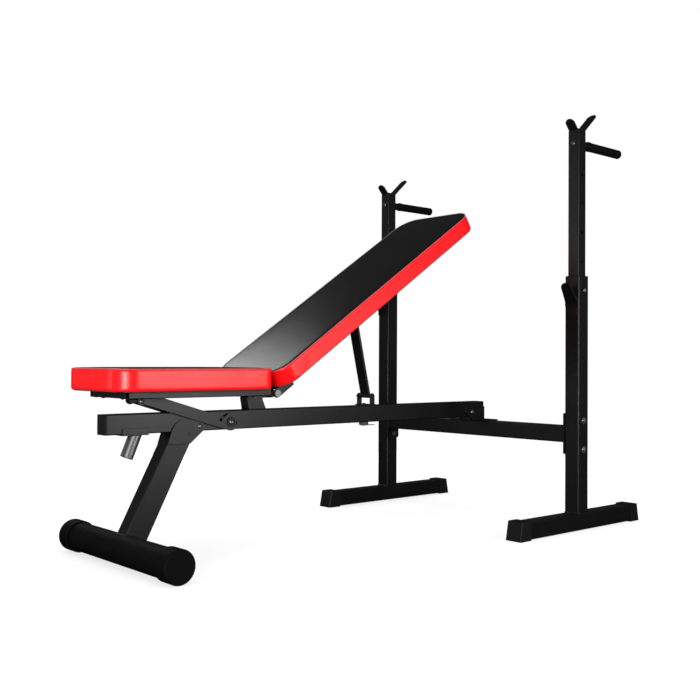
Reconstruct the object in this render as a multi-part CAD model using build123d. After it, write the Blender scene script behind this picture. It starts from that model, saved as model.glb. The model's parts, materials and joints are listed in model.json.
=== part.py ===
from build123d import *
import math
import os

os.makedirs("parts", exist_ok=True)

# Adjustable weight bench with a pair of barbell uprights. Millimetres throughout.
# X runs across the bench, Y from the foot end toward the uprights, Z up from the floor.
# The pieces are drawn with Y measured from the plane of the uprights; save() moves them
# so that the origin lies on the floor under the middle of the whole bench.
RACK_Y = 541.0

# fits
BOLT_R = 4.0
BOLT_HOLE_R = 4.05
PIVOT_HOLE_R = 4.06
BIG_BOLT_R = 5.0
BIG_HOLE_R = 5.05
AXLE_R = 6.0
AXLE_HOLE_R = 6.06
CLEAR = 0.3

# uprights, feet and cross beam, all of the same square tube
RACK_TUBE = 50.0
RACK_WALL = 2.0
RACK_CORNER = 4.0
UPRIGHT_X = 414.0
UPRIGHT_TOP = 766.0
FOOT_BASE = 2.0
FOOT_TOP = FOOT_BASE + RACK_TUBE
FOOT_HALF = 284.0
CAP_ROOT = 32.0
CAP_SOLE = 18.0
CAP_BROW = 7.5
CROSS_BEAM_BASE = 263.0
CROSS_BEAM_TOP = CROSS_BEAM_BASE + RACK_TUBE
END_PLATE = 4.0
CROSS_BOLT_Z = (331.0, 244.0)

# telescopic bar posts
POST_TUBE = 38.0
POST_WALL = 2.0
POST_BASE = 706.0
POST_TOP = 1209.0
HOLE_PITCH = 88.0
HOLE_COUNT = 5
LOCK_Z = 723.0
LOCK_TRAVEL = 3.5
HANDLE_Z = 1170.0

# main beam
BEAM_W = 45.0
BEAM_H = 50.0
BEAM_BASE = 324.4
BEAM_TOP = BEAM_BASE + BEAM_H
BEAM_FRONT = -1349.0
BEAM_REAR = 24.0

# shared hinge of the seat and the back
HINGE_Y = -900.0
HINGE_Z = 420.0
RAIL = 20.0
RAIL_WALL = 1.5
RAIL_X = 90.0
RAIL_BASE = 414.4
PAD_BASE = RAIL_BASE + RAIL

# seat pad
SEAT_HALF = 144.0
SEAT_FRONT = -1384.0
SEAT_REAR = -936.0
SEAT_TOP = 487.5
SEAT_BARS = (-1323.0, -1262.0, -990.0)

# back pad, drawn level and then turned up about the hinge
BACK_ANGLE = 33.7
BACK_HALF = 150.0
BACK_NEAR = 8.0
BACK_FAR = 912.5
BACK_TOP = 63.4
BACK_RAIL_END = 780.0
BACK_BARS = (34.0, 399.0, 716.0)
BOARD = 12.0

# seat strut, from the seat lugs down to the slot on the beam
SEAT_LUG = (-1262.0, 405.0)
SEAT_SLOT = (-997.0, 345.0)

# back strut, from the hangers under the back down to the ears on the beam
HANGER_S = 425.5
HANGER_OFF = 4.4
STRUT_FOOT = (-488.0, 402.0)
BRACKET_PIN_Y = -496.0

# accessory socket under the front end of the beam, leaning toward the foot end
SOCKET_TUBE_R = 16.0
SOCKET_BORE_R = 13.0
SOCKET_DEPTH = 54.0
SOCKET_ROOT = (-1262.0, BEAM_BASE - 3.0)
SOCKET_MOUTH = (-1285.5, 265.5)
CLIP_Y = (-1309.0, -1238.0)

# folding front leg
LEG_PIVOT = (-1090.5, 337.0)
LEG_W = 45.6
LEG_D = 62.0
LEG_TOP = 323.9
LEG_AXIS = (-1148.5, 300.0)
LEG_SLOPE = 0.52
LEG_STOP = (-1120.0, 319.0)
LEG_RELIEF_Y = -1107.0
FOOT_BAR = (-1295.0, 41.5)
FOOT_BAR_R = 37.0
FOOT_CAP_R = 41.5
FOOT_BAR_HALF = 272.0


def save(name, solids):
    """Write a list of separate solids as one named piece."""
    moved = [Pos(0, RACK_Y, 0) * solid for part in solids for solid in part.solids()]
    export_step(Compound(children=moved, label=name), "parts/" + name + ".step")


def across(x, y, z):
    """Plane facing +X, with its own axes along +Y and +Z."""
    return Plane(origin=(x, y, z), x_dir=(0, 1, 0), z_dir=(1, 0, 0))


def lengthwise(x, y, z):
    """Plane facing +Y."""
    return Plane(origin=(x, y, z), x_dir=(1, 0, 0), z_dir=(0, 1, 0))


def upward(x, y, z):
    """Plane facing +Z."""
    return Plane(origin=(x, y, z), x_dir=(1, 0, 0), z_dir=(0, 0, 1))


def facing(x, y, z, side):
    """Plane facing +X or -X."""
    return Plane(origin=(x, y, z), x_dir=(0, side, 0), z_dir=(side, 0, 0))


def block(x0, x1, y0, y1, z0, z1):
    """Box between the given limits."""
    middle = Pos((x0 + x1) / 2, (y0 + y1) / 2, (z0 + z1) / 2)
    return middle * Box(x1 - x0, y1 - y0, z1 - z0)


def rod(plane, radius, length):
    """Round bar standing on a plane."""
    return extrude(plane * Circle(radius), length)


def tube(plane, width, height, length, wall, corner):
    """Rectangular tube with rounded corners standing on a plane."""
    outer = RectangleRounded(width, height, corner)
    inner = RectangleRounded(width - 2 * wall, height - 2 * wall, max(corner - wall, 0.8))
    return extrude(plane * (outer - inner), length)


def plate(x0, x1, outline):
    """Flat plate across X, from a list of (y, z) corners."""
    face = Face(Wire.make_polygon([(x0, y, z) for y, z in outline]))
    return Part() + Solid.extrude(face, Vector(x1 - x0, 0, 0))


def disc(x0, x1, centre, radius):
    """Round plate across X about a (y, z) centre."""
    return rod(across(x0, centre[0], centre[1]), radius, x1 - x0)


def both(part):
    """A piece and its mirror image on the other side of the bench."""
    return [part, mirror(part, about=Plane.YZ)]


def dome_bolt(plane, shank, grip, head, rise, washer=0.0, seat=0.0):
    """Round-headed bolt; the plane lies under the head and faces out of it."""
    ball = (head ** 2 + rise ** 2) / (2 * rise)
    cap = Pos(0, 0, seat + rise - ball) * Sphere(ball)
    bolt = cap & (Pos(0, 0, seat + rise / 2) * Cylinder(head, rise))
    bolt += Pos(0, 0, -grip / 2) * Cylinder(shank, grip)
    if washer:
        bolt += Pos(0, 0, seat / 2) * Cylinder(washer, seat)
    return plane.location * bolt


def nut(plane, flats, height, bore):
    """Hexagon nut standing on a plane."""
    return extrude(plane * (RegularPolygon(flats / 2, 6, major_radius=False) - Circle(bore)), height)


def pad(half, y0, y1, z0, z1, round0, round1, edge):
    """Cushion with rounded corners at each end and a softened rim, and its recessed board."""
    body = block(-half, half, y0, y1, z0, z1)
    uprights = body.edges().filter_by(Axis.Z).group_by(Axis.Y)
    body = fillet(uprights[0], round0)
    uprights = body.edges().filter_by(Axis.Z).filter_by(GeomType.LINE).group_by(Axis.Y)
    body = fillet(uprights[-1], round1)
    body = fillet(body.faces().sort_by(Axis.Z)[-1].edges(), edge)
    inset = 14.0
    board = block(-half + inset, half - inset, y0 + inset, y1 - inset, z0, z0 + BOARD)
    board = fillet(board.edges().filter_by(Axis.Z), min(round0, round1) - 10.0)
    return body - board, board


def turned_up(part):
    """Turn a piece of the back from level to its raised angle about the hinge."""
    return part.rotate(Axis((0, HINGE_Y, HINGE_Z), (1, 0, 0)), BACK_ANGLE)


def back_point(s, off):
    """World (y, z) of a point given along and square to the raised back."""
    turn = math.radians(BACK_ANGLE)
    y = HINGE_Y + s * math.cos(turn) - off * math.sin(turn)
    z = HINGE_Z + s * math.sin(turn) + off * math.cos(turn)
    return y, z


# ---- rack ----

def uprights():
    result = []
    for x in (-UPRIGHT_X, UPRIGHT_X):
        post = tube(upward(x, 0, FOOT_TOP), RACK_TUBE, RACK_TUBE, UPRIGHT_TOP - FOOT_TOP, RACK_WALL, RACK_CORNER)
        for z in CROSS_BOLT_Z:
            post -= rod(across(x - 30, 0, z), BOLT_HOLE_R, 60)
        post -= rod(facing(x, 0, LOCK_Z, math.copysign(1, x)), PIVOT_HOLE_R, 30)
        result.append(post)
    return result


def upright_bushes():
    result = []
    for x in (-UPRIGHT_X, UPRIGHT_X):
        bush = extrude(upward(x, 0, UPRIGHT_TOP) * RectangleRounded(RACK_TUBE, RACK_TUBE, RACK_CORNER), 2)
        bush += extrude(upward(x, 0, 736) * RectangleRounded(45.8, 45.8, 2), UPRIGHT_TOP - 736)
        bore = POST_TUBE + 2 * CLEAR
        bush -= extrude(upward(x, 0, 730) * RectangleRounded(bore, bore, 3), 50)
        result.append(bush)
    return result


def foot_tubes():
    result = []
    for x in (-UPRIGHT_X, UPRIGHT_X):
        plane = lengthwise(x, -FOOT_HALF, FOOT_BASE + RACK_TUBE / 2)
        result.append(tube(plane, RACK_TUBE, RACK_TUBE, 2 * FOOT_HALF, RACK_WALL, RACK_CORNER))
    return result


def foot_end_caps():
    result = []
    for x in (-UPRIGHT_X, UPRIGHT_X):
        for side in (-1, 1):
            root = side * (FOOT_HALF - CAP_ROOT)
            sole = side * (FOOT_HALF + CAP_SOLE)
            brow = side * (FOOT_HALF + CAP_BROW)
            cap = plate(x - 27, x + 27, [(root, 0), (sole, 0), (brow, FOOT_TOP + 3), (root, FOOT_TOP + 3)])
            cap = chamfer(cap.faces().sort_by(Axis.Y)[-1 if side > 0 else 0].edges(), 2)
            reach = sorted((side * (FOOT_HALF - 60), side * FOOT_HALF))
            cap -= block(x - 25, x + 25, reach[0], reach[1], FOOT_BASE, FOOT_TOP)
            result.append(cap)
    return result


def safety_hooks():
    """Bent catches on the front faces of the uprights."""
    width = 44.0
    tip = 35.0
    thick = 4.0
    bend_y = -RACK_TUBE / 2 - thick / 2
    bend_z = 690.0
    lean = math.radians(33)
    straight = 46.0
    result = []
    for x in (-UPRIGHT_X, UPRIGHT_X):
        hook = block(x - width / 2, x + width / 2, bend_y - 2, bend_y + 2, 676, bend_z)
        hook += rod(across(x - width / 2, bend_y, bend_z), thick / 2, width)
        rise = Vector(0, -math.sin(lean), math.cos(lean))
        wing = Plane(origin=(x, bend_y, bend_z), x_dir=(1, 0, 0), z_dir=rise.cross(Vector(-1, 0, 0)))
        corners = [(-width / 2, 0), (width / 2, 0), (tip / 2, straight), (-tip / 2, straight)]
        face = make_face(Polyline(*corners, close=True))
        face += Pos(0, straight) * Circle(tip / 2)
        hook += extrude(wing * face, thick / 2, both=True)
        result.append(hook)
    return result


def cross_beam():
    inner = UPRIGHT_X - RACK_TUBE / 2 - END_PLATE
    plane = across(-inner, 0, (CROSS_BEAM_BASE + CROSS_BEAM_TOP) / 2)
    return [tube(plane, RACK_TUBE, RACK_TUBE, 2 * inner, RACK_WALL, RACK_CORNER)]


def cross_beam_end_plates():
    inner = UPRIGHT_X - RACK_TUBE / 2 - END_PLATE
    end = block(inner, inner + END_PLATE, -28, 28, 228, 352)
    end = fillet(end.edges().filter_by(Axis.X), 5)
    for z in CROSS_BOLT_Z:
        end -= rod(across(inner - 5, 0, z), BOLT_HOLE_R, 20)
    return both(end)


def cross_beam_bolts():
    outer = UPRIGHT_X + RACK_TUBE / 2
    result = []
    for z in CROSS_BOLT_Z:
        result += both(dome_bolt(across(outer, 0, z), BOLT_R, 64.5, 8, 5, 10, 2.5))
    return result


def beam_saddle():
    """Weldment on the cross beam that carries the rear end of the main beam."""
    saddle = block(-84, 84, -28, 28, CROSS_BEAM_TOP, CROSS_BEAM_TOP + 4)
    saddle += block(-BEAM_W / 2, BEAM_W / 2, -28, 28, CROSS_BEAM_TOP + 4, BEAM_BASE)
    outline = [(28, 317), (28, 357), (-67, 357), (-67, 338), (-34, 317)]
    for side in (-1, 1):
        x0, x1 = sorted((side * BEAM_W / 2, side * (BEAM_W / 2 + 4)))
        saddle += plate(x0, x1, outline)
    saddle -= rod(across(-40, -33, 340), BOLT_HOLE_R, 80)
    return [saddle]


# ---- main beam and the pieces fixed to it ----

def main_beam():
    plane = lengthwise(0, BEAM_FRONT, BEAM_BASE + BEAM_H / 2)
    beam = tube(plane, BEAM_W, BEAM_H, BEAM_REAR - BEAM_FRONT, 2, 3)
    beam -= rod(across(-40, -33, 340), BOLT_HOLE_R, 80)
    beam -= rod(across(-40, *LEG_PIVOT), BOLT_HOLE_R, 80)
    beam -= rod(across(-40, *SEAT_SLOT), BIG_HOLE_R, 80)
    beam -= rod(upward(0, BRACKET_PIN_Y, BEAM_BASE - 10), BIG_HOLE_R, BEAM_H + 20)
    return [beam]


def beam_end_caps():
    result = []
    for y, side in ((BEAM_FRONT, -1), (BEAM_REAR, 1)):
        ends = sorted((y, y + 4 * side))
        flange = block(-BEAM_W / 2, BEAM_W / 2, ends[0], ends[1], BEAM_BASE, BEAM_TOP)
        flange = fillet(flange.edges().filter_by(Axis.Y), 3)
        plug = lengthwise(0, min(y, y - 20 * side), BEAM_BASE + BEAM_H / 2)
        flange += extrude(plug * RectangleRounded(BEAM_W - 4.2, BEAM_H - 4.2, 2), 20)
        result.append(flange)
    return result


def beam_bolts():
    """Identical bolts of the saddle and of the leg pivot."""
    saddle = dome_bolt(across(26.5, -33, 340), BOLT_R, 61, 7, 4.5)
    leg = dome_bolt(across(26.2, *LEG_PIVOT), BOLT_R, 61, 7, 4.5)
    return [saddle, leg]


def frame_nuts():
    result = []
    inner = UPRIGHT_X - RACK_TUBE / 2 - END_PLATE
    for z in CROSS_BOLT_Z:
        result += both(nut(facing(inner, 0, z, -1), 13, 6.5, BOLT_HOLE_R))
    result.append(nut(facing(-26.5, -33, 340, -1), 13, 6.5, BOLT_HOLE_R))
    result.append(nut(facing(-26.2, *LEG_PIVOT, -1), 13, 6.5, BOLT_HOLE_R))
    return result


def seat_strut_nut():
    return [nut(facing(-33.3, *SEAT_SLOT, -1), 17, 8, BIG_HOLE_R)]


def seat_post():
    """Upstand on the beam that carries the axle; its front is closed and its rear open."""
    outline = [(-930, BEAM_TOP), (-872.5, BEAM_TOP), (-884, 400), (-887, 433), (-925, 433), (-936, 406)]
    post = plate(-17, 17, outline)
    post -= plate(-14, 14, [(y + 3, z + 0.01) for y, z in outline])
    post -= block(-14, 14, -927, -860, BEAM_TOP - 1, BEAM_TOP + 1)
    post -= disc(-30, 30, (HINGE_Y, HINGE_Z), AXLE_HOLE_R)
    return [post]


def pivot_axle():
    axle = disc(-107, 107, (HINGE_Y, HINGE_Z), AXLE_R)
    for x in (-107.9, 104.4):
        axle += disc(x, x + 3.5, (HINGE_Y, HINGE_Z), 9.5)
    return [axle]


def strut_bracket():
    """Base plate with two ears that take the foot of the back strut."""
    bracket = block(-30, 30, -505, -466, BEAM_TOP, BEAM_TOP + 3)
    ear = block(27, 30, STRUT_FOOT[0] - 9, STRUT_FOOT[0] + 9, BEAM_TOP, STRUT_FOOT[1])
    ear += disc(27, 30, STRUT_FOOT, 9)
    for part in both(ear):
        bracket += part
    bracket -= disc(-35, -20, STRUT_FOOT, PIVOT_HOLE_R)
    bracket -= rod(upward(0, BRACKET_PIN_Y, BEAM_TOP - 1), BIG_HOLE_R, 6)
    return [bracket]


def bracket_pin():
    """Bolt that fastens the strut bracket down through the beam."""
    return [dome_bolt(upward(0, BRACKET_PIN_Y, BEAM_TOP + 3), BIG_BOLT_R, 65, 8.5, 4)]


def bracket_nut():
    lower = Plane(origin=(0, BRACKET_PIN_Y, BEAM_BASE), x_dir=(1, 0, 0), z_dir=(0, 0, -1))
    return [nut(lower, 25, 9, BIG_HOLE_R)]


def bracket_clip():
    """Thin spring plate held by the bolt under the beam."""
    clip = block(-7, 7, -504, -456, 313.4, 315)
    clip -= rod(upward(0, BRACKET_PIN_Y, 300), BIG_HOLE_R, 30)
    return [clip]


def strut_lock_plunger():
    """Short pin in the ear, drawn clear of the strut foot."""
    return [dome_bolt(facing(-35.3, *STRUT_FOOT, -1), BOLT_R, 8, 6, 3.5)]


def seat_strut_bolt():
    return [dome_bolt(across(33.3, *SEAT_SLOT), BIG_BOLT_R, 78, 8, 5)]


def seat_strut_washers():
    return both(disc(31.3, 33.3, SEAT_SLOT, 13) - disc(31, 34, SEAT_SLOT, BIG_HOLE_R))


def seat_strut_spacers():
    return both(disc(BEAM_W / 2, 27.7, SEAT_SLOT, 8) - disc(22, 28, SEAT_SLOT, BIG_HOLE_R))


def socket_bracket():
    """Clip under the front end of the beam that carries the accessory socket."""
    clip = block(-25.5, 25.5, *CLIP_Y, BEAM_BASE - 3, 339)
    clip -= block(-BEAM_W / 2, BEAM_W / 2, CLIP_Y[0] - 5, CLIP_Y[1] + 5, BEAM_BASE, 345)
    return [clip]


def accessory_socket():
    """Tube for a leg or curl attachment, leaning toward the foot end, plugged above its bore."""
    start = Vector(0, *SOCKET_ROOT)
    end = Vector(0, *SOCKET_MOUTH)
    run = (start - end).normalized()
    plane = Plane(origin=end, x_dir=(1, 0, 0), z_dir=run)
    socket = extrude(plane * Circle(SOCKET_TUBE_R), (start - end).length + 20)
    socket &= block(-50, 50, -1400, -1200, 200, SOCKET_ROOT[1])
    return [socket - extrude(plane.offset(-5) * Circle(SOCKET_BORE_R), SOCKET_DEPTH + 5)]


# ---- seat ----

def seat_pad():
    return pad(SEAT_HALF, SEAT_FRONT, SEAT_REAR, PAD_BASE, SEAT_TOP, 53, 25, 8)


def pad_screw(x, y):
    """Screw through a cross bar into the board."""
    return dome_bolt(Plane(origin=(x, y, RAIL_BASE), x_dir=(1, 0, 0), z_dir=(0, 0, -1)), 3, 30, 6, 3)


def seat_board():
    board = seat_pad()[1]
    for x in (-50, 50):
        for y in (SEAT_BARS[0], SEAT_BARS[2]):
            board -= rod(upward(x, y, PAD_BASE), 3.03, 11)
    return [board]


def seat_rails():
    plane = lengthwise(RAIL_X, -1333, RAIL_BASE + RAIL / 2)
    return both(tube(plane, RAIL, RAIL, 415, RAIL_WALL, 2))


def seat_cross_bars():
    result = []
    for y in SEAT_BARS:
        plane = across(-RAIL_X + RAIL / 2, y, RAIL_BASE + RAIL / 2)
        bar = tube(plane, RAIL, RAIL, 2 * RAIL_X - RAIL, RAIL_WALL, 2)
        if y != SEAT_BARS[1]:
            for x in (-50, 50):
                bar -= rod(upward(x, y, RAIL_BASE - 5), 3.03, 40)
        result.append(bar)
    return result


def seat_brackets():
    """Hinge ears inside the seat rails and the two lugs for the seat strut."""
    ear = block(76, 80, -958, HINGE_Y, HINGE_Z - 11.5, HINGE_Z + 11.5)
    ear += disc(76, 80, (HINGE_Y, HINGE_Z), 11.5)
    ear -= disc(70, 90, (HINGE_Y, HINGE_Z), AXLE_HOLE_R)
    lug = block(24, 27.7, SEAT_LUG[0] - 9, SEAT_LUG[0] + 9, SEAT_LUG[1], RAIL_BASE)
    lug += disc(24, 27.7, SEAT_LUG, 9)
    lug -= disc(20, 30, SEAT_LUG, BOLT_HOLE_R)
    return both(ear) + both(lug)


def seat_pad_screws():
    return [pad_screw(x, y) for x in (-50, 50) for y in (SEAT_BARS[0], SEAT_BARS[2])]


def seat_lug_bolt():
    return [dome_bolt(across(31.3, *SEAT_LUG), BOLT_R, 71, 7, 4.5)]


def seat_lug_nut():
    return [nut(facing(-31.3, *SEAT_LUG, -1), 13, 6.5, BOLT_HOLE_R)]


def seat_strut():
    """Channel with a slotted lower end that slides on the bolt of the beam."""
    run = Vector(SEAT_SLOT[0] - SEAT_LUG[0], SEAT_SLOT[1] - SEAT_LUG[1]).normalized()
    side = plate(28, 31, [
        (-1266, 399.5), (-1259.7, 399.9), (-1003.7, 322.9), (-995.3, 350.7),
        (-1238, 423.7), (-1246, 413), (-1262, 413),
    ])
    side += disc(28, 31, SEAT_LUG, 9)
    side += disc(28, 31, SEAT_SLOT, 23)
    side -= disc(20, 40, SEAT_LUG, PIVOT_HOLE_R)
    side -= disc(20, 40, (SEAT_SLOT[0] - 32 * run.X, SEAT_SLOT[1] - 32 * run.Y), 5)
    slot_end = (SEAT_SLOT[0] + 13.5 * run.X, SEAT_SLOT[1] + 13.5 * run.Y)
    side -= disc(20, 40, SEAT_SLOT, 6.25)
    side -= disc(20, 40, slot_end, 6.25)
    square = Vector(-run.Y, run.X) * 6.25
    side -= plate(20, 40, [
        (SEAT_SLOT[0] + square.X, SEAT_SLOT[1] + square.Y), (slot_end[0] + square.X, slot_end[1] + square.Y),
        (slot_end[0] - square.X, slot_end[1] - square.Y), (SEAT_SLOT[0] - square.X, SEAT_SLOT[1] - square.Y),
    ])
    strut = plate(-28, 28, [(-1247, 396.1), (-1182, 376.55), (-1181.1, 379.4), (-1246.1, 398.95)])
    for part in both(side):
        strut += part
    return [strut]


# ---- back ----

def back_pad():
    return pad(BACK_HALF, HINGE_Y + BACK_NEAR, HINGE_Y + BACK_FAR, PAD_BASE, HINGE_Z + BACK_TOP, 50, 60, 8)


def back_screw_spots():
    return [(x, HINGE_Y + s) for x in (-50, 50) for s in (BACK_BARS[0], BACK_BARS[1], BACK_BARS[2])]


def back_cushion():
    return [turned_up(back_pad()[0])]


def back_board():
    board = back_pad()[1]
    for x, y in back_screw_spots():
        board -= rod(upward(x, y, PAD_BASE), 3.03, 11)
    return [turned_up(board)]


def back_rails():
    plane = lengthwise(RAIL_X, HINGE_Y + 18, RAIL_BASE + RAIL / 2)
    rail = tube(plane, RAIL, RAIL, BACK_RAIL_END - 18, RAIL_WALL, 2)
    return [turned_up(part) for part in both(rail)]


def back_cross_bars():
    result = []
    for s in BACK_BARS:
        plane = across(-RAIL_X + RAIL / 2, HINGE_Y + s, RAIL_BASE + RAIL / 2)
        bar = tube(plane, RAIL, RAIL, 2 * RAIL_X - RAIL, RAIL_WALL, 2)
        for x in (-50, 50):
            bar -= rod(upward(x, HINGE_Y + s, RAIL_BASE - 5), 3.03, 40)
        result.append(turned_up(bar))
    return result


def back_brackets():
    """Hinge ears outside the back rails and the hangers of the back strut."""
    ear = block(100, 104, HINGE_Y, HINGE_Y + 60, HINGE_Z - 11.5, HINGE_Z + 11.5)
    ear += disc(100, 104, (HINGE_Y, HINGE_Z), 11.5)
    ear -= disc(90, 110, (HINGE_Y, HINGE_Z), AXLE_HOLE_R)
    hanger = block(25.3, 28.3, HINGE_Y + 409, HINGE_Y + 438, RAIL_BASE, PAD_BASE)
    hanger -= disc(20, 30, (HINGE_Y + HANGER_S, HINGE_Z + HANGER_OFF), BOLT_HOLE_R)
    return [turned_up(part) for part in both(ear) + both(hanger)]


def back_pad_screws():
    return [turned_up(pad_screw(x, y)) for x, y in back_screw_spots()]


def strut_top_pin():
    centre = back_point(HANGER_S, HANGER_OFF)
    pin = disc(-31, 31, centre, BOLT_R)
    for x in (-31.3, 28.3):
        pin += disc(x, x + 3, centre, 6.5)
    return [pin]


def back_strut():
    """Flat bar with a cross tube at each end."""
    top = back_point(HANGER_S, HANGER_OFF)
    start = Vector(0, top[0], top[1])
    end = Vector(0, STRUT_FOOT[0], STRUT_FOOT[1])
    plane = Plane(origin=start, x_dir=(1, 0, 0), z_dir=(end - start).normalized())
    strut = extrude(plane * RectangleRounded(38, 8, 2), (end - start).length)
    for centre, radius in ((top, 7.7), (STRUT_FOOT, 6.0)):
        strut += disc(-25, 25, centre, radius)
    strut -= disc(-30, 30, top, PIVOT_HOLE_R)
    strut -= disc(-30, 30, STRUT_FOOT, BOLT_R + 0.4)
    return [strut]


# ---- front leg ----

def leg_tube():
    lean = math.hypot(LEG_SLOPE, 1)
    down = Vector(0, -LEG_SLOPE / lean, -1 / lean)
    start = Vector(0, LEG_AXIS[0], LEG_AXIS[1]) - down * 60
    plane = Plane(origin=start, x_dir=(1, 0, 0), z_dir=down)
    leg = tube(plane, LEG_W, LEG_D, 346, 2, 4)
    leg &= block(-50, 50, -1500, -900, 0, LEG_TOP)
    # the upper rear corner is cut away, so that the leg passes the beam as it folds
    leg -= block(-50, 50, LEG_RELIEF_Y, LEG_RELIEF_Y + 60, LEG_AXIS[1], LEG_TOP + 20)
    leg -= disc(-50, 50, FOOT_BAR, FOOT_BAR_R)
    leg -= disc(-50, 50, LEG_STOP, 3.55)
    return [leg]


def leg_plates():
    side = plate(LEG_W / 2, LEG_W / 2 + 3, [
        (-1184, 294), (-1118, 294), (-1081.3, 323.9), (-1090.5, 353), (-1143, 356.2), (-1162, 346),
        (-1171.9, 330.7),
    ])
    side += disc(LEG_W / 2, LEG_W / 2 + 3, LEG_PIVOT, 16)
    side -= disc(20, 30, LEG_PIVOT, PIVOT_HOLE_R)
    side -= disc(20, 30, LEG_STOP, 3.55)
    return both(side)


def leg_stop_pin():
    return [disc(-27, 27, LEG_STOP, 3.5)]


def foot_bar():
    half = FOOT_BAR_HALF - 4
    return [disc(-half, half, FOOT_BAR, FOOT_BAR_R) - disc(-half, half, FOOT_BAR, FOOT_BAR_R - 2)]


def foot_bar_caps():
    cap = disc(FOOT_BAR_HALF - 50, FOOT_BAR_HALF, FOOT_BAR, FOOT_CAP_R)
    cap = fillet(cap.faces().sort_by(Axis.X)[-1].edges(), 5)
    cap -= disc(FOOT_BAR_HALF - 60, FOOT_BAR_HALF - 4, FOOT_BAR, FOOT_BAR_R)
    return both(cap)


# ---- bar posts ----

def post_tube(x, drop):
    height = POST_TOP - POST_BASE
    post = tube(upward(x, 0, POST_BASE - drop), POST_TUBE, POST_TUBE, height, POST_WALL, 3)
    for step in range(HOLE_COUNT):
        z = LOCK_Z - drop + HOLE_PITCH * step
        post -= rod(facing(x, 0, z, math.copysign(1, x)), 4.3, 30)
    post -= rod(lengthwise(x, -30, HANDLE_Z - drop), BOLT_HOLE_R, 60)
    return [post]


def bar_fork(x, drop):
    """Strip bent into a short front prong and a long rear prong."""
    width = 31.0
    thick = 5.0
    z = POST_TOP - drop
    fork = block(x - width / 2, x + width / 2, -19, 19, z, z + thick)
    for y, tip in ((-19.0, (-44.0, 1239.0)), (19.0, (85.0, 1272.0))):
        base = z + thick / 2
        rise = Vector(0, tip[0] - y, tip[1] - drop - base)
        run = rise.length - width / 2
        fork += rod(across(x - width / 2, y, base), thick / 2, width)
        wing = Plane(origin=(x, y, base), x_dir=(1, 0, 0), z_dir=rise.cross(Vector(-1, 0, 0)))
        face = Pos(0, run / 2) * Rectangle(width, run)
        face += Pos(0, run) * Circle(width / 2)
        face -= Pos(0, -50) * Rectangle(100, 100)
        fork += extrude(wing * face, thick / 2, both=True)
    return [fork]


def handle_tube(x, drop):
    """Steel stub with a plain collar at the root of the grip."""
    z = HANDLE_Z - drop
    handle = rod(lengthwise(x, POST_TUBE / 2, z), 12.5, 195)
    handle += rod(lengthwise(x, 51, z), 15, 7)
    handle -= rod(lengthwise(x, 29, z), 10.5, 200)
    handle -= rod(lengthwise(x, 0, z), BOLT_HOLE_R, 38)
    return [handle]


def grip(x, drop):
    z = HANDLE_Z - drop
    sleeve = rod(lengthwise(x, 58.1, z), 14, 163)
    sleeve = fillet(sleeve.faces().sort_by(Axis.Y)[-1].edges(), 6)
    sleeve -= rod(lengthwise(x, 50, z), 12.5, 164)
    return [sleeve]


def handle_bolt(x, drop):
    under = Plane(origin=(x, -POST_TUBE / 2, HANDLE_Z - drop), x_dir=(1, 0, 0), z_dir=(0, -1, 0))
    return [dome_bolt(under, BOLT_R, 55, 7, 4.5)]


def lock_pin(x):
    """Spring pin in the upright, drawn clear of the post."""
    side = math.copysign(1, x)
    under = RACK_TUBE / 2 + LOCK_TRAVEL + 0.1
    grip_length = under - POST_TUBE / 2 - CLEAR
    return [dome_bolt(facing(x + side * under, 0, LOCK_Z, side), BOLT_R, grip_length, 7, 3.9)]


save("uprights", uprights())
save("upright_bushes", upright_bushes())
save("foot_tubes", foot_tubes())
save("foot_end_caps", foot_end_caps())
save("safety_hooks", safety_hooks())
save("cross_beam", cross_beam())
save("cross_beam_end_plates", cross_beam_end_plates())
save("cross_beam_bolts", cross_beam_bolts())
save("beam_saddle", beam_saddle())
save("main_beam", main_beam())
save("beam_end_caps", beam_end_caps())
save("beam_bolts", beam_bolts())
save("frame_nuts", frame_nuts())
save("seat_strut_nut", seat_strut_nut())
save("seat_post", seat_post())
save("pivot_axle", pivot_axle())
save("strut_bracket", strut_bracket())
save("bracket_pin", bracket_pin())
save("bracket_nut", bracket_nut())
save("bracket_clip", bracket_clip())
save("strut_lock_plunger", strut_lock_plunger())
save("seat_strut_bolt", seat_strut_bolt())
save("seat_strut_washers", seat_strut_washers())
save("seat_strut_spacers", seat_strut_spacers())
save("socket_bracket", socket_bracket())
save("accessory_socket", accessory_socket())
save("seat_cushion", [seat_pad()[0]])
save("seat_board", seat_board())
save("seat_rails", seat_rails())
save("seat_cross_bars", seat_cross_bars())
save("seat_brackets", seat_brackets())
save("seat_pad_screws", seat_pad_screws())
save("seat_lug_bolt", seat_lug_bolt())
save("seat_lug_nut", seat_lug_nut())
save("seat_strut", seat_strut())
save("back_cushion", back_cushion())
save("back_board", back_board())
save("back_rails", back_rails())
save("back_cross_bars", back_cross_bars())
save("back_brackets", back_brackets())
save("back_pad_screws", back_pad_screws())
save("strut_top_pin", strut_top_pin())
save("back_strut", back_strut())
save("leg_tube", leg_tube())
save("leg_plates", leg_plates())
save("leg_stop_pin", leg_stop_pin())
save("foot_bar", foot_bar())
save("foot_bar_caps", foot_bar_caps())
for side, x, drop in (("near", UPRIGHT_X, 0.0), ("far", -UPRIGHT_X, HOLE_PITCH)):
    save(side + "_post_tube", post_tube(x, drop))
    save(side + "_bar_fork", bar_fork(x, drop))
    save(side + "_handle_tube", handle_tube(x, drop))
    save(side + "_grip", grip(x, drop))
    save(side + "_handle_bolt", handle_bolt(x, drop))
    save(side + "_lock_pin", lock_pin(x))
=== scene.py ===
"""Looks of the adjustable weight bench with its pair of barbell uprights.

Everything is in metres, in the frame of the CAD part: X across the bench, Y from the
foot end toward the uprights, Z up from the floor.
"""

import json
import math

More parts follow.
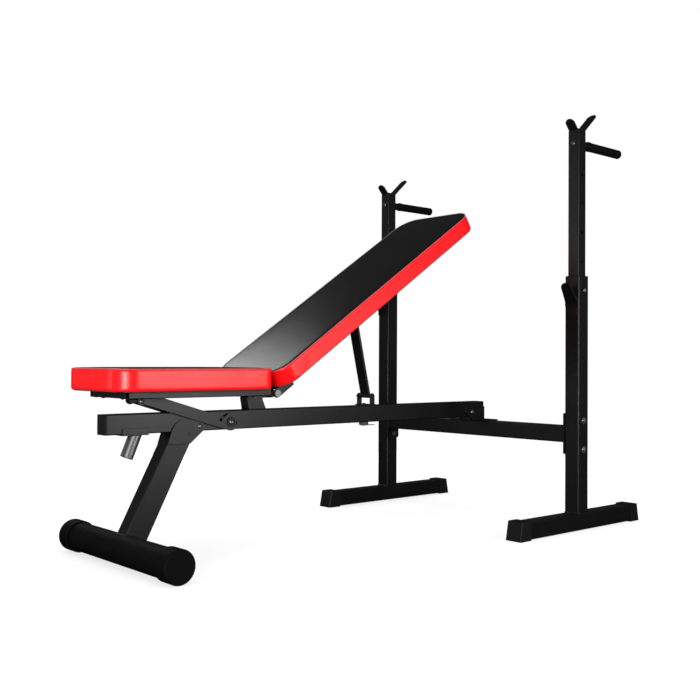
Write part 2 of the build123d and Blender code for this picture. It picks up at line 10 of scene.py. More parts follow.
import bmesh
import bpy
import numpy as np
from mathutils import Matrix, Vector


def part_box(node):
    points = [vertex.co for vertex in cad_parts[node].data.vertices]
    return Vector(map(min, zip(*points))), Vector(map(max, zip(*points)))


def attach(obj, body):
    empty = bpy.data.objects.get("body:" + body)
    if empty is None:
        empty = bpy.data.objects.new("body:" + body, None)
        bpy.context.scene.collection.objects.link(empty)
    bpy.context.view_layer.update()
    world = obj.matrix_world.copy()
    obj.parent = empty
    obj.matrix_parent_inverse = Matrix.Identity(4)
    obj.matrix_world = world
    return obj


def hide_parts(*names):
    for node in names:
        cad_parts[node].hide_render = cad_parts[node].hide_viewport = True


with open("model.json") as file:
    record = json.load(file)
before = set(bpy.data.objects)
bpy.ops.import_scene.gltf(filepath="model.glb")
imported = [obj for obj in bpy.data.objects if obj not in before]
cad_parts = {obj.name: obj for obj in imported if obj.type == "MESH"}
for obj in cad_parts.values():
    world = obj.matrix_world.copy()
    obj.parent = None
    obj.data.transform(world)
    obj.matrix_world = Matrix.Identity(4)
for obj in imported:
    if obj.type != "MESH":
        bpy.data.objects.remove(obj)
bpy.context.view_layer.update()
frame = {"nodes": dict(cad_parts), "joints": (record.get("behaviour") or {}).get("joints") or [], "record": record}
nodes = frame["nodes"]
scene = bpy.context.scene

MM = 0.001

# camera
CAMERA_PLACE = (2.12592, -1.88690, 0.50735)
CAMERA_TURN = (90.656, -0.279, 48.572)
CAMERA_LENS = 48.97

BODY_OF = {node: body for body, group in frame["record"]["behaviour"]["bodies"].items() for node in group}
SLOT_OF = {entry["node"]: entry["material_slot"] for entry in frame["record"]["subparts"]}
HINGE = Vector(next(joint["pos_m"] for joint in frame["joints"] if joint["name"] == "back_recline"))
BACK_ANGLE = math.radians(33.7)
BACK_TURN = Matrix.Translation(HINGE) @ Matrix.Rotation(BACK_ANGLE, 4, "X") @ Matrix.Translation(-HINGE)

# welds
TUBE_CORNER_R = 4 * MM
WELD_LIFT = 0.5 * MM
SADDLE_WELD_X = (30 * MM, 80 * MM)
SADDLE_WELD_INSET = 39 * MM
HOOK_WELD_HALF = 21 * MM
LEG_PLATE_WELD_Y = (2 * MM, 64 * MM)
RAIL_BAR_HALF = 10 * MM

# front leg
LEG_AXIS_Y = -0.6075
LEG_AXIS_Z = 0.300
LEG_SLOPE = 0.52
LEG_DEPTH = 62 * MM

# accessory socket
SOCKET_WALL = 3 * MM
SOCKET_EDGE = 0.5 * MM

# pads
VOXEL = 5 * MM
SEAM_DROP = 1.6 * MM
RIM_R = 5 * MM
LOWER_RIM_R = 3 * MM
PIPING_R = 1.0 * MM
PIPING_INSET = 1.9 * MM
TUCK_R = 1.0 * MM
TUCK_INSET = 9 * MM
BOARD_THICKNESS = 12 * MM
BOARD_INSET = 14 * MM
WRAP = 3.2 * MM
RAIL_NOTCH = 106 * MM
NOTCH_LENGTH = 60 * MM
NOTCH_DEPTH = 8 * MM
PAD_PRESSURE = 4.0
PAD_FRAMES = 20
SWELL_CAP = 2.2 * MM
SEAM_HOLD = 14 * MM
TUCK_HOLD = 10 * MM
CROWN = 2.0 * MM
PATH_STEP = 20 * MM


# ---- shader helpers ----

def new_material(name):
    """Material with a node tree and its Principled shader."""
    mat = bpy.data.materials.new(name)
    mat.use_nodes = True
    tree = mat.node_tree
    return mat, tree, tree.nodes["Principled BSDF"]


def add(tree, kind, **values):
    """New node; keyword values are settings of the node or numbers for its inputs."""
    node = tree.nodes.new(kind)
    for key, value in values.items():
        if hasattr(node, key):
            setattr(node, key, value)
        else:
            node.inputs[key.replace("_", " ")].default_value = value
    return node


def spread(tree, value, low, high):
    """Stretch a 0 to 1 value over the range low to high."""
    span = add(tree, "ShaderNodeMapRange")
    span.inputs["To Min"].default_value = low
    span.inputs["To Max"].default_value = high
    tree.links.new(value, span.inputs["Value"])
    return span.outputs["Result"]


def group_with(name, inputs, outputs):
    """Empty shader group with named number inputs and outputs."""
    tree = bpy.data.node_groups.new(name, "ShaderNodeTree")
    for label, value in inputs:
        socket = tree.interface.new_socket(label, in_out="INPUT", socket_type="NodeSocketFloat")
        socket.default_value = value
    for label in outputs:
        tree.interface.new_socket(label, in_out="OUTPUT", socket_type="NodeSocketFloat")
    return tree, tree.nodes.new("NodeGroupInput"), tree.nodes.new("NodeGroupOutput")


def make_mottle():
    """Slow cloudy change over the surface plus a fine grain, for coats and mouldings."""
    scales = [("Cloud Scale", 9), ("Grain Scale", 900)]
    tree, given, result = group_with("mottle", scales, ["Cloud", "Grain"])
    place = add(tree, "ShaderNodeTexCoord")
    for label, detail in (("Cloud", 4), ("Grain", 2)):
        noise = add(tree, "ShaderNodeTexNoise", Detail=detail, Roughness=0.55)
        tree.links.new(place.outputs["Object"], noise.inputs["Vector"])
        tree.links.new(given.outputs[label + " Scale"], noise.inputs["Scale"])
        tree.links.new(noise.outputs["Fac"], result.inputs[label])
    return tree


def make_vinyl_grain():
    """Pebbled grain of upholstery vinyl: rounded cells parted by fine creases."""
    tree, given, result = group_with("vinyl_grain", [("Scale", 520)], ["Height", "Tone"])
    place = add(tree, "ShaderNodeTexCoord")
    warp = add(tree, "ShaderNodeTexNoise", Detail=2)
    warp.inputs["Scale"].default_value = 160
    tree.links.new(place.outputs["Object"], warp.inputs["Vector"])
    shift = add(tree, "ShaderNodeVectorMath", operation="SCALE")
    shift.inputs["Scale"].default_value = 0.004
    tree.links.new(warp.outputs["Color"], shift.inputs[0])
    moved = add(tree, "ShaderNodeVectorMath", operation="ADD")
    tree.links.new(place.outputs["Object"], moved.inputs[0])
    tree.links.new(shift.outputs["Vector"], moved.inputs[1])
    cells = add(tree, "ShaderNodeTexVoronoi", feature="DISTANCE_TO_EDGE")
    tree.links.new(moved.outputs["Vector"], cells.inputs["Vector"])
    tree.links.new(given.outputs["Scale"], cells.inputs["Scale"])
    crease = add(tree, "ShaderNodeMapRange", interpolation_type="SMOOTHSTEP")
    crease.inputs["From Max"].default_value = 0.22
    tree.links.new(cells.outputs["Distance"], crease.inputs["Value"])
    tree.links.new(crease.outputs["Result"], result.inputs["Height"])
    slow = add(tree, "ShaderNodeTexNoise", Detail=3)
    slow.inputs["Scale"].default_value = 7
    tree.links.new(place.outputs["Object"], slow.inputs["Vector"])
    tree.links.new(slow.outputs["Fac"], result.inputs["Tone"])
    return tree


def place_group(tree, group, **values):
    """Put a shared group in a material with its own values."""
    node = tree.nodes.new("ShaderNodeGroup")
    node.node_tree = group
    for key, value in values.items():
        node.inputs[key.replace("_", " ")].default_value = value
    return node


def tone(tree, shader, factor, dark, light):
    """Base colour that drifts between two near shades."""
    mix = add(tree, "ShaderNodeMix", data_type="RGBA")
    mix.inputs["A"].default_value = (*dark, 1)
    mix.inputs["B"].default_value = (*light, 1)
    tree.links.new(factor, mix.inputs["Factor"])
    tree.links.new(mix.outputs["Result"], shader.inputs["Base Color"])


def rough(tree, shader, factor, low, high):
    """Roughness that drifts between two values."""
    tree.links.new(spread(tree, factor, low, high), shader.inputs["Roughness"])


def relief(tree, shader, height, strength, distance):
    """Bump from a height."""
    bump = add(tree, "ShaderNodeBump")
    bump.inputs["Strength"].default_value = strength
    bump.inputs["Distance"].default_value = distance
    tree.links.new(height, bump.inputs["Height"])
    tree.links.new(bump.outputs["Normal"], shader.inputs["Normal"])


MOTTLE = make_mottle()
VINYL_GRAIN = make_vinyl_grain()


def coated(name, dark, light, smooth, dull, grain, strength, specular=0.5, metal=0.0):
    """Finish made of a cloudy tone, a cloudy roughness and a fine grain."""
    mat, tree, shader = new_material(name)
    mottle = place_group(tree, MOTTLE, Grain_Scale=grain)
    shader.inputs["Metallic"].default_value = metal
    shader.inputs["Specular IOR Level"].default_value = specular
    tone(tree, shader, mottle.outputs["Cloud"], dark, light)
    rough(tree, shader, mottle.outputs["Cloud"], smooth, dull)
    relief(tree, shader, mottle.outputs["Grain"], strength, 0.2 * MM)
    return mat


def vinyl(name, dark, light, smooth, dull, specular):
    mat, tree, shader = new_material(name)
    grain = place_group(tree, VINYL_GRAIN)
    shader.inputs["Specular IOR Level"].default_value = specular
    tone(tree, shader, grain.outputs["Tone"], dark, light)
    rough(tree, shader, grain.outputs["Tone"], smooth, dull)
    relief(tree, shader, grain.outputs["Height"], 0.12, 0.15 * MM)
    return mat


def plywood(name, level):
    """Birch ply: long streaks on the faces and thin dark glue lines on the edges."""
    mat, tree, shader = new_material(name)
    place = add(tree, "ShaderNodeTexCoord")
    turn = add(tree, "ShaderNodeMapping")
    turn.inputs["Rotation"].default_value = (level, 0, 0)
    tree.links.new(place.outputs["Object"], turn.inputs["Vector"])
    stretch = add(tree, "ShaderNodeMapping")
    stretch.inputs["Scale"].default_value = (60, 4, 420)
    tree.links.new(turn.outputs["Vector"], stretch.inputs["Vector"])
    streak = add(tree, "ShaderNodeTexNoise", Detail=5)
    streak.inputs["Scale"].default_value = 1
    tree.links.new(stretch.outputs["Vector"], streak.inputs["Vector"])
    tone(tree, shader, streak.outputs["Fac"], (0.30, 0.17, 0.075), (0.56, 0.38, 0.21))
    rough(tree, shader, streak.outputs["Fac"], 0.6, 0.8)
    relief(tree, shader, streak.outputs["Fac"], 0.2, 0.2 * MM)
    return mat


# name, dark and light shade, least and most roughness, grain scale and strength, specular, metal
BLACK_COAT = coated("black_powder_coat", (0.0014, 0.0014, 0.0016), (0.0030, 0.0030, 0.0033),
                    0.28, 0.38, 1100, 0.08, 0.28)
BLACK_ZINC = coated("black_zinc", (0.11, 0.11, 0.112), (0.17, 0.17, 0.172),
                    0.28, 0.38, 1500, 0.06, 0.5, 0.8)
DULL_ZINC = coated("dull_zinc", (0.26, 0.26, 0.27), (0.36, 0.36, 0.37),
                   0.30, 0.44, 1500, 0.08, 0.5, 1.0)
SOCKET_STEEL = coated("socket_steel", (0.17, 0.17, 0.175), (0.23, 0.23, 0.235),
                      0.42, 0.48, 1500, 0.01, 0.5, 1.0)
PLASTIC = coated("black_moulding", (0.0018, 0.0018, 0.0020), (0.0036, 0.0036, 0.0038),
                 0.42, 0.54, 1900, 0.18, 0.22)
RUBBER = coated("black_grip", (0.0020, 0.0020, 0.0022), (0.0036, 0.0036, 0.0038),
                0.55, 0.66, 2300, 0.22, 0.04)
BLACK_VINYL = vinyl("black_vinyl", (0.0035, 0.0035, 0.0038), (0.0055, 0.0055, 0.0058), 0.21, 0.27, 0.25)
RED_VINYL = vinyl("red_vinyl", (0.74, 0.0010, 0.0030), (0.82, 0.0018, 0.0045), 0.28, 0.34, 0.32)
# piping cord coloured light grey: a painted highlight for the light line along the top seam
PIPING_PAINTED_HIGHLIGHT = vinyl("piping_painted_highlight", (0.15, 0.11, 0.11), (0.22, 0.17, 0.17), 0.26, 0.34, 0.5)
SEAT_PLY = plywood("seat_plywood", 0.0)
BACK_PLY = plywood("back_plywood", -BACK_ANGLE)

FINISH = {
    "black_steel": BLACK_COAT,
    "plated_steel": BLACK_ZINC,
    "bright_steel": SOCKET_STEEL,
    "black_plastic": PLASTIC,
    "black_rubber": RUBBER,
    "plywood": SEAT_PLY,
    "upholstery": BLACK_VINYL,
}
OWN_FINISH = {
    "back_board": BACK_PLY,
    "bracket_clip": DULL_ZINC,
    "leg_stop_pin": BLACK_COAT,
    "foot_bar": RUBBER,
}


def finish_of(node):
    """Finish of a CAD node: its own, or that of its material slot."""
    return OWN_FINISH.get(node, FINISH[SLOT_OF[node]])


def dress_cad_nodes():
    """Give each CAD node the finish of its material slot."""
    for name, node in nodes.items():
        node.data.materials.clear()
        node.data.materials.append(finish_of(name))


# ---- mesh helpers ----

def to_object(bm, name, materials):
    """Turn a bmesh into a piece in the scene."""
    mesh = bpy.data.meshes.new(name)
    bm.to_mesh(mesh)
    bm.free()
    for polygon in mesh.polygons:
        polygon.use_smooth = True
    for mat in materials:
        mesh.materials.append(mat)
    piece = bpy.data.objects.new(name, mesh)
    scene.collection.objects.link(piece)
    return piece


def apply_modifiers(piece):
    """Bake the live modifiers of a piece into its mesh."""
    graph = bpy.context.evaluated_depsgraph_get()
    mesh = bpy.data.meshes.new_from_object(piece.evaluated_get(graph))
    piece.modifiers.clear()
    piece.data = mesh


def cut_away(piece, cutter):
    """Take the shape of a bmesh out of a piece."""
    tool = to_object(cutter, piece.name + "_cutter", piece.data.materials[:])
    cut = piece.modifiers.new("cut", "BOOLEAN")
    cut.operation = "DIFFERENCE"
    cut.solver = "EXACT"
    cut.object = tool
    apply_modifiers(piece)
    bpy.data.objects.remove(tool)


def merged_copy(node):
    """Bmesh of a CAD node with its loose triangles joined and its flat faces whole."""
    bm = bmesh.new()
    bm.from_mesh(nodes[node].data)
    bmesh.ops.remove_doubles(bm, verts=bm.verts, dist=0.002 * MM)
    bmesh.ops.dissolve_limit(bm, angle_limit=math.radians(0.4), verts=bm.verts, edges=bm.edges)
    return bm


def islands(bm):
    """Groups of joined vertices, one for each separate solid."""
    waiting = set(bm.verts)
    groups = []
    while waiting:
        front = [waiting.pop()]
        group = list(front)
        while front:
            for edge in front.pop().link_edges:
                for vert in edge.verts:
                    if vert in waiting:
                        waiting.remove(vert)
                        front.append(vert)
                        group.append(vert)
        groups.append(group)
    return groups


def extent(verts):
    """Lowest and highest corner of a group of vertices."""
    low = Vector([min(v.co[axis] for v in verts) for axis in range(3)])
    high = Vector([max(v.co[axis] for v in verts) for axis in range(3)])
    return low, high


def stand_for(piece, node):
    """Let a finished piece take the place of a CAD node on its body; the node is hidden."""
    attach(piece, BODY_OF[node])
    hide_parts(node)


def crisp(piece, angle=40):
    """Smooth shading with the real edges kept sharp."""
    for polygon in piece.data.polygons:
        polygon.use_smooth = True
    piece.data.set_sharp_from_angle(angle=math.radians(angle))
    shading = piece.modifiers.new("flat_shading", "WEIGHTED_NORMAL")
    shading.keep_sharp = True
    apply_modifiers(piece)


def soften(node, width):
    """Finished copy of a CAD node with its sharp edges rounded over."""
    piece = to_object(merged_copy(node), node + "_finished", [finish_of(node)])
    bevel = piece.modifiers.new("rounding", "BEVEL")
    bevel.limit_method = "ANGLE"
    bevel.angle_limit = math.radians(40)
    bevel.width = width
    bevel.segments = 2
    apply_modifiers(piece)
    crisp(piece)
    stand_for(piece, node)
    return piece


def drill_keys(node, way, key, depth):
    """Finished copy of a node of round-headed bolts, with a hexagon socket sunk in each head."""
    bm = merged_copy(node)
    cutter = bmesh.new()
    for group in islands(bm):
        low, high = extent(group)
        middle = (low + high) / 2
        facing = Vector(way)
        if facing.x and "cross" in node:
            facing.x = math.copysign(1, middle.x)
        top = max((v.co - middle).dot(facing) for v in group)
        aim = facing.to_track_quat("Z", "Y").to_matrix().to_4x4()
        bmesh.ops.create_cone(
            cutter, cap_ends=True, segments=6, radius1=key / math.sqrt(3), radius2=key / math.sqrt(3),
            depth=2 * depth, matrix=Matrix.Translation(middle + facing * top) @ aim,
        )
    piece = to_object(bm, node + "_finished", [finish_of(node)])
    cut_away(piece, cutter)
    crisp(piece, 30)
    stand_for(piece, node)
    return piece


# ---- welds ----

def bead_curve(name, radius, resolution):
    """Empty curve with a round section."""
    curve = bpy.data.curves.new(name, "CURVE")
    curve.dimensions = "3D"
    curve.bevel_depth = radius
    curve.bevel_resolution = resolution
    return curve


def weld(name, body, lines, radius):
    """Rippled weld beads along closed or open runs of points, joined in one piece."""
    curve = bead_curve(name, radius, 2)
    curve.use_fill_caps = True
    for points, closed in lines:
        dense = evenly(points, closed, 0.7 * radius)
        spline = curve.splines.new("POLY")
        spline.points.add(len(dense) - 1)
        for count, (point, place) in enumerate(zip(spline.points, dense)):
            point.co = (*place, 1)
            point.radius = 1 + 0.16 * math.sin(count * 1.9) + 0.08 * math.sin(count * 0.37)
        spline.use_cyclic_u = closed
    piece = curve_piece(name, curve, BLACK_COAT)
    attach(piece, body)
    return piece


def evenly(points, closed, step):
    """The same path with points about step apart."""
    ends = points[1:] + points[:1] if closed else points[1:]
    result = []
    for here, there in zip(points, ends):
        parts = max(1, round((there - here).length / step))
        result += [here.lerp(there, part / parts) for part in range(parts)]
    if not closed:
        result.append(points[-1])
    return result


def curve_piece(name, curve, material):
    """Turn a curve into a mesh piece."""
    holder = bpy.data.objects.new(name + "_line", curve)
    scene.collection.objects.link(holder)
    graph = bpy.context.evaluated_depsgraph_get()
    mesh = bpy.data.meshes.new_from_object(holder.evaluated_get(graph))
    bpy.data.objects.remove(holder)
    mesh.name = name
    mesh.materials.clear()
    mesh.materials.append(material)
    for polygon in mesh.polygons:
        polygon.use_smooth = True
    piece = bpy.data.objects.new(name, mesh)
    scene.collection.objects.link(piece)
    return piece


def ring(centre, right, up, half_w, half_h, corner):
    """Closed path round a rectangular tube with rounded corners."""
    points = []
    for turn, (a, b) in enumerate(((1, 1), (-1, 1), (-1, -1), (1, -1))):
        for count in range(4):
            angle = math.radians(90 * turn + 30 * count)
            x = a * (half_w - corner) + corner * math.cos(angle)
            y = b * (half_h - corner) + corner * math.sin(angle)
            points.append(centre + right * x + up * y)
    return points


def make_welds():
    """Beads round the foot tubes, the cross beam, the saddle, the seat post, the hooks and the forks."""
    x_way, y_way, z_way = Vector((1, 0, 0)), Vector((0, 1, 0)), Vector((0, 0, 1))
    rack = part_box("uprights")
    rack_y = (rack[0].y + rack[1].y) / 2
    tube = rack[1].y - rack[0].y
    post_x = rack[1].x - tube / 2
    lines = []
    for x in (-post_x, post_x):
        centre = Vector((x, rack_y, rack[0].z + 0.6 * MM))
        lines.append((ring(centre, x_way, y_way, tube / 2, tube / 2, TUBE_CORNER_R), True))
    weld("foot_welds", "frame", lines, 2.2 * MM)
    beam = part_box("cross_beam")
    lines = []
    for x in (beam[0].x + 0.6 * MM, beam[1].x - 0.6 * MM):
        centre = Vector((x, rack_y, (beam[0].z + beam[1].z) / 2))
        lines.append((ring(centre, y_way, z_way, tube / 2, tube / 2, TUBE_CORNER_R), True))
    weld("cross_beam_welds", "frame", lines, 2.0 * MM)
    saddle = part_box("beam_saddle")
    near_x, far_x = SADDLE_WELD_X
    z = beam[1].z + WELD_LIFT
    lines = []
    for y in (saddle[0].y + SADDLE_WELD_INSET, saddle[1].y):
        for side in (-1, 1):
            lines.append(([Vector((side * far_x, y, z)), Vector((side * near_x, y, z))], False))
    weld("saddle_welds", "frame", lines, 1.8 * MM)
    seat_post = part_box("seat_post")
    z = seat_post[0].z + WELD_LIFT
    lines = []
    for x in (seat_post[0].x, seat_post[1].x):
        lines.append(([Vector((x, seat_post[0].y + 6 * MM, z)), Vector((x, seat_post[1].y, z))], False))
    weld("seat_post_welds", "frame", lines, 1.8 * MM)
    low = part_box("safety_hooks")[0].z - 0.3 * MM
    front = rack[0].y - 0.8 * MM
    lines = []
    for x in (-post_x, post_x):
        ends = [Vector((x + side * HOOK_WELD_HALF, front, low)) for side in (-1, 1)]
        lines.append((ends, False))
    weld("hook_welds", "frame", lines, 1.9 * MM)
    for side in ("near", "far"):
        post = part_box(side + "_post_tube")
        middle = (post[0] + post[1]) / 2
        half = (post[1].x - post[0].x) / 2
        top = ring(Vector((middle.x, middle.y, post[1].z)), x_way, y_way, half - 3 * MM, half, 3 * MM)
        weld(side + "_fork_weld", side + "_post", [(top, True)], 1.5 * MM)
    make_leg_weld()
    make_rail_welds()


def make_socket():
    """Turned tube with a blind bore and broken edges, under the front end of the beam."""
    mount = next(entry for entry in frame["record"]["mounts"] if entry["name"] == "accessory_socket")
    way = Vector(mount["axis"])
    bore = mount["dims"]["r_mm"] * MM
    depth = mount["dims"]["length_mm"] * MM
    mouth = Vector(mount["pos_m"]) + way * depth / 2
    outer = bore + SOCKET_WALL
    length = max(way.dot(mouth - v.co) for v in nodes["accessory_socket"].data.vertices)
    profile = [
        (0, length), (outer - SOCKET_EDGE, length), (outer, length - SOCKET_EDGE), (outer, SOCKET_EDGE),
        (outer - SOCKET_EDGE, 0), (bore + SOCKET_EDGE, 0), (bore, SOCKET_EDGE), (bore, depth), (0, depth),
    ]
    bm = bmesh.new()
    line = [bm.verts.new((radius, 0, -back)) for radius, back in profile]
    edges = [bm.edges.new(pair) for pair in zip(line, line[1:])]
    bmesh.ops.spin(bm, geom=line + edges, axis=(0, 0, 1), cent=(0, 0, 0), angle=math.tau, steps=64)
    bmesh.ops.remove_doubles(bm, verts=bm.verts, dist=0.01 * MM)
    bm.transform(Matrix.Translation(mouth) @ way.to_track_quat("Z", "X").to_matrix().to_4x4())
    cut = bmesh.ops.bisect_plane(
        bm, geom=bm.verts[:] + bm.edges[:] + bm.faces[:], plane_co=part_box("accessory_socket")[1],
        plane_no=(0, 0, 1), clear_outer=True,
    )
    rim = [part for part in cut["geom_cut"] if isinstance(part, bmesh.types.BMEdge)]
    bmesh.ops.contextual_create(bm, geom=rim)
    bmesh.ops.recalc_face_normals(bm, faces=bm.faces)
    piece = to_object(bm, "accessory_socket_finished", [SOCKET_STEEL])
    piece.data.set_sharp_from_angle(angle=math.radians(30))
    stand_for(piece, "accessory_socket")


def make_leg_weld():
    """Bead where the leg tube lands on the round foot bar."""
    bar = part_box("foot_bar")
    centre = (bar[0] + bar[1]) / 2
    radius = (bar[1].z - bar[0].z) / 2
    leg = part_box("leg_tube")
    half_w = (leg[1].x - leg[0].x) / 2
    down = Vector((0, -LEG_SLOPE, -1)).normalized()
    square = Vector((0, down.z, -down.y)) * -1
    start = Vector((0, LEG_AXIS_Y, LEG_AXIS_Z))
    points = []
    for point in ring(start, Vector((1, 0, 0)), square, half_w, LEG_DEPTH / 2, TUBE_CORNER_R):
        gap = Vector((0, point.y - centre.y, point.z - centre.z))
        along = gap.dot(down)
        reach = -along - math.sqrt(max(along * along - gap.length_squared + radius * radius, 0))
        points.append(point + down * reach)
    weld("leg_weld", "leg", [(evenly(points, True, 4 * MM), True)], 2.0 * MM)
    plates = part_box("leg_plates")
    lines = []
    for x in (plates[0].x + 2.4 * MM, plates[1].x - 2.4 * MM):
        ends = [Vector((x, plates[0].y + reach, plates[0].z)) for reach in LEG_PLATE_WELD_Y]
        lines.append((ends, False))
    weld("leg_plate_welds", "leg", lines, 1.4 * MM)


def make_rail_welds():
    """Small beads where the cross bars meet the rails of the seat and the back."""
    for body, turn in (("seat", Matrix.Identity(4)), ("back", BACK_TURN)):
        bars = merged_copy(body + "_cross_bars")
        bars.transform(turn.inverted())
        lines = []
        for island in islands(bars):
            low, high = extent(island)
            middle = (low + high) / 2
            for x in (low.x + 0.4 * MM, high.x - 0.4 * MM):
                path = ring(Vector((x, middle.y, middle.z)), Vector((0, 1, 0)), Vector((0, 0, 1)),
                            RAIL_BAR_HALF, RAIL_BAR_HALF, 2 * MM)
                lines.append(([turn @ point for point in path], True))
        bars.free()
        weld(body + "_rail_welds", body, lines, 1.1 * MM)


# ---- grips ----

def make_grips():
    """Foam sleeves with a rolled root and a domed end."""
    for side in ("near", "far"):
        low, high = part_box(side + "_grip")
        middle = (low + high) / 2
        far = (high.y - low.y) / MM
        # millimetres from the root, and radius
        outline = [(0.0, 12.6), (0.0, 14.4), (1.0, 15.0), (2.4, 15.0), (3.4, 14.5), (4.6, 14.0)]
        ribs = range(int((far - 20) / 5))
        outline += [(8.0 + 5.0 * step, 14.0 - 0.25 * (step % 2)) for step in ribs]
        outline += [(far - 3 + 3 * math.sin(angle), 11.0 + 3 * math.cos(angle))
                    for angle in (math.radians(15 * step) for step in range(7))]
        outline += [(far, 3.2), (far - 0.8, 2.6), (far - 0.8, 0.0)]
        bm = bmesh.new()
        verts = [bm.verts.new((middle.x + r * MM, low.y + y * MM, middle.z)) for y, r in outline]
        for here, there in zip(verts, verts[1:]):
            bm.edges.new((here, there))
        bmesh.ops.spin(
            bm, geom=bm.verts[:] + bm.edges[:], cent=(middle.x, 0, middle.z), axis=(0, 1, 0), angle=math.tau,
            steps=48, use_merge=True,
        )
        bmesh.ops.remove_doubles(bm, verts=bm.verts, dist=0.01 * MM)
        rim = [e for e in bm.edges if e.is_boundary]
        bmesh.ops.contextual_create(bm, geom=rim)
        bmesh.ops.recalc_face_normals(bm, faces=bm.faces)
        piece = to_object(bm, side + "_grip_sleeve", [RUBBER])
        crisp(piece, 50)
        stand_for(piece, side + "_grip")


# ---- pads ----

def pad_block(half, y0, y1, z0, z1, front_r, rear_r, rim):
    """Level pad form with rounded plan corners and a softened top rim."""
    bm = bmesh.new()
    bmesh.ops.create_cube(bm, size=1)
    bmesh.ops.scale(bm, vec=(2 * half, y1 - y0, z1 - z0), verts=bm.verts)
    bmesh.ops.translate(bm, vec=(0, (y0 + y1) / 2, (z0 + z1) / 2), verts=bm.verts)
    for radius, front in ((front_r, True), (rear_r, False)):
        upright = [
            e for e in bm.edges
            if abs(e.verts[0].co.z - e.verts[1].co.z) > 0.9 * (z1 - z0)
            and (e.verts[0].co.y < y0 + 1 * MM if front else e.verts[0].co.y > y1 - 1 * MM)
        ]
        bmesh.ops.bevel(
            bm, geom=upright, offset=radius, offset_type="OFFSET", affect="EDGES",
            segments=14, profile=0.5, material=-1,
        )
    for level, width in ((z1, rim), (z0, LOWER_RIM_R)):
        loop = [e for e in bm.edges if all(abs(v.co.z - level) < 1e-6 for v in e.verts)]
        bmesh.ops.bevel(
            bm, geom=loop, offset=width, offset_type="OFFSET", affect="EDGES",
            segments=6, profile=0.5, material=-1,
        )
    return bm


def swell(piece, pin_low, pin_high):
    """Blow the cover up a little as cloth; the seam and the underside hold still."""
    rest = np.array([v.co for v in piece.data.vertices])
    cloth = piece.modifiers.new("swell", "CLOTH")
    cloth.settings.use_pressure = True
    cloth.settings.uniform_pressure_force = PAD_PRESSURE
    cloth.settings.effector_weights.gravity = 0
    for number in range(1, PAD_FRAMES + 1):
        scene.frame_set(number)
    graph = bpy.context.evaluated_depsgraph_get()
    mesh = bpy.data.meshes.new_from_object(piece.evaluated_get(graph))
    moved = np.array([v.co for v in mesh.vertices])
    piece.modifiers.clear()
    scene.frame_set(1)
    push = moved - rest
    size = np.linalg.norm(push, axis=1)
    push *= SWELL_CAP / max(np.percentile(size, 99), 1e-9)
    size = np.linalg.norm(push, axis=1, keepdims=True)
    push *= np.minimum(1, SWELL_CAP / np.maximum(size, 1e-9))
    hold = np.clip(np.abs(rest[:, 2] - pin_high) / SEAM_HOLD, 0, 1)
    rise = np.clip((rest[:, 2] - pin_low) / TUCK_HOLD, 0, 1)
    result = rest + push * (hold * hold * (3 - 2 * hold) * rise)[:, None]
    piece.data.vertices.foreach_set("co", result.astype(np.float32).ravel())
    piece.data.update()


def crown(piece, half, y0, y1, z1):
    """Raise the middle of the top a little, as foam does under a tight cover."""
    middle = (y0 + y1) / 2
    for v in piece.data.vertices:
        across = min(abs(v.co.x) / half, 1)
        along = min(abs(v.co.y - middle) / ((y1 - y0) / 2), 1)
        above = max(0, min(1, (v.co.z - (z1 - 10 * MM)) / (9 * MM)))
        v.co.z += CROWN * above * (1 - across ** 4) * (1 - along ** 8)


def rim_path(half, y0, y1, front_r, rear_r, shrink, z):
    """Points round the plan outline of a pad, pulled in by shrink."""
    points = []
    turns = (
        (half - front_r, y0 + front_r, front_r, -90), (half - rear_r, y1 - rear_r, rear_r, 0),
        (-half + rear_r, y1 - rear_r, rear_r, 90), (-half + front_r, y0 + front_r, front_r, 180),
    )
    for x, y, radius, begin in turns:
        for count in range(13):
            angle = math.radians(begin + 90 * count / 12)
            reach = radius - shrink
            points.append(Vector((x + reach * math.cos(angle), y + reach * math.sin(angle), z)))
    return evenly(points, True, PATH_STEP)


def rope(name, points, radius, material):
    """Round closed bead along a path."""
    curve = bead_curve(name, radius, 3)
    spline = curve.splines.new("POLY")
    spline.points.add(len(points) - 1)
    for point, place in zip(spline.points, points):
        point.co = (*place, 1)
    spline.use_cyclic_u = True
    return curve_piece(name, curve, material)


def cut_seam(piece, level):
    """Slice the cover along the seam; black above it, red below."""
    bm = bmesh.new()
    bm.from_mesh(piece.data)
    bmesh.ops.bisect_plane(
        bm, geom=bm.verts[:] + bm.edges[:] + bm.faces[:], dist=1e-7,
        plane_co=(0, 0, level), plane_no=(0, 0, 1),
    )
    for face in bm.faces:
        face.material_index = 0 if face.calc_center_median().z > level else 1
        face.smooth = True
    bm.to_mesh(piece.data)
    bm.free()


